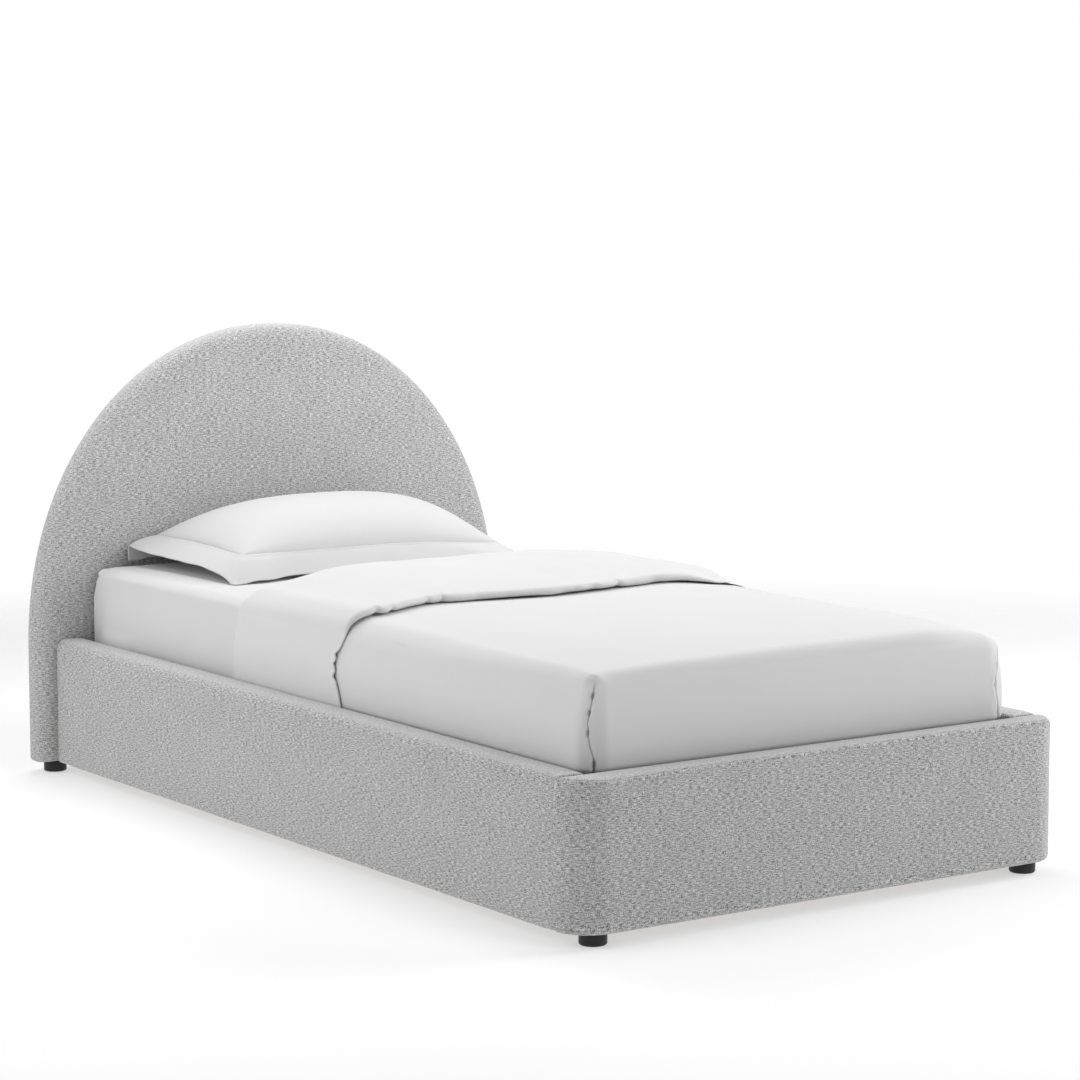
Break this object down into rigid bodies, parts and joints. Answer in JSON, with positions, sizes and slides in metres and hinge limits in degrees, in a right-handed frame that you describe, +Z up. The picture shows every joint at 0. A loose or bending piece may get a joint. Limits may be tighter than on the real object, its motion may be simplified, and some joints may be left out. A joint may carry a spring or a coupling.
{
  "type": "upholstered platform bed",
  "caption": "Single upholstered platform bed with a half-moon headboard, low box rails on short round feet, slatted base, mattress, sheet, turned-back duvet and a flanged pillow.",
  "frame": {"origin": "on the floor under the middle of the bed's outer size", "axes": "+Z up, +Y from the foot rail towards the headboard, +X to the right seen from the foot"},
  "size_m": [1.255, 2.125, 1.005],
  "materials": {
    "upholstery_weave": "matt slub weave",
    "foam": "open cell",
    "plywood": "sanded, unfinished",
    "timber": "planed, unfinished",
    "slat_wood": "planed, clear lacquer",
    "back_lining": "hardboard panel faced in nonwoven lining",
    "foot_plastic": "fine satin",
    "bracket_steel": "zinc plated",
    "bolt_steel": "zinc plated",
    "mattress_ticking": "quilted knit",
    "pillow_ticking": "plain weave",
    "sheet_cotton": "smooth percale",
    "duvet_cotton": "smooth percale",
    "sham_cotton": "smooth percale"
  },
  "bodies": {
    "bed_frame": {"headboard_cover": "upholstery_weave", "foot_rail_cover": "upholstery_weave", "side_rail_cover_left": "upholstery_weave", "side_rail_cover_right": "upholstery_weave", "headboard_foam": "foam", "foot_rail_foam": "foam", "side_rail_foam_left": "foam", "side_rail_foam_right": "foam", "headboard_board": "plywood", "foot_corner_block_left": "plywood", "foot_corner_block_right": "plywood", "headboard_post_left": "timber", "headboard_post_right": "timber", "headboard_cross_rail_lower": "timber", "headboard_cross_rail_upper": "timber", "foot_rail_board": "timber", "centre_beam": "timber", "side_rail_board_left": "timber", "side_rail_board_right": "timber", "slat_ledger_left": "timber", "slat_ledger_right": "timber", "slat_01": "slat_wood", "slat_02": "slat_wood", "slat_03": "slat_wood", "slat_04": "slat_wood", "slat_05": "slat_wood", "slat_06": "slat_wood", "slat_07": "slat_wood", "slat_08": "slat_wood", "slat_09": "slat_wood", "slat_10": "slat_wood", "slat_11": "slat_wood", "slat_12": "slat_wood", "slat_13": "slat_wood", "headboard_back_panel": "back_lining", "front_foot_left": "foot_plastic", "front_foot_right": "foot_plastic", "headboard_foot_left": "foot_plastic", "headboard_foot_right": "foot_plastic", "centre_leg_head": "foot_plastic", "centre_leg_foot": "foot_plastic", "corner_bracket_head_left": "bracket_steel", "corner_bracket_head_right": "bracket_steel", "corner_bracket_foot_left": "bracket_steel", "corner_bracket_foot_right": "bracket_steel", "beam_saddle_head": "bracket_steel", "beam_saddle_foot": "bracket_steel", "head_bolt_left": "bolt_steel", "head_bolt_right": "bolt_steel", "foot_bolt_left": "bolt_steel", "foot_bolt_right": "bolt_steel", "head_rail_bolt_left": "bolt_steel", "head_rail_bolt_right": "bolt_steel", "foot_rail_bolt_left": "bolt_steel", "foot_rail_bolt_right": "bolt_steel"},
    "made_up_mattress": {"mattress": "mattress_ticking", "fitted_sheet": "sheet_cotton", "duvet": "duvet_cotton"},
    "pillow_in_sham": {"pillow": "pillow_ticking", "pillow_sham": "sham_cotton"}
  },
  "joints": [
    {"name": "mattress_lift", "type": "slide", "parent": "bed_frame", "child": "made_up_mattress", "axis": [0, 0, 1], "range_m": [0, 0.35]},
    {"name": "pillow_lift", "type": "slide", "parent": "made_up_mattress", "child": "pillow_in_sham", "axis": [0, 0, 1], "range_m": [0, 0.3]}
  ]
}
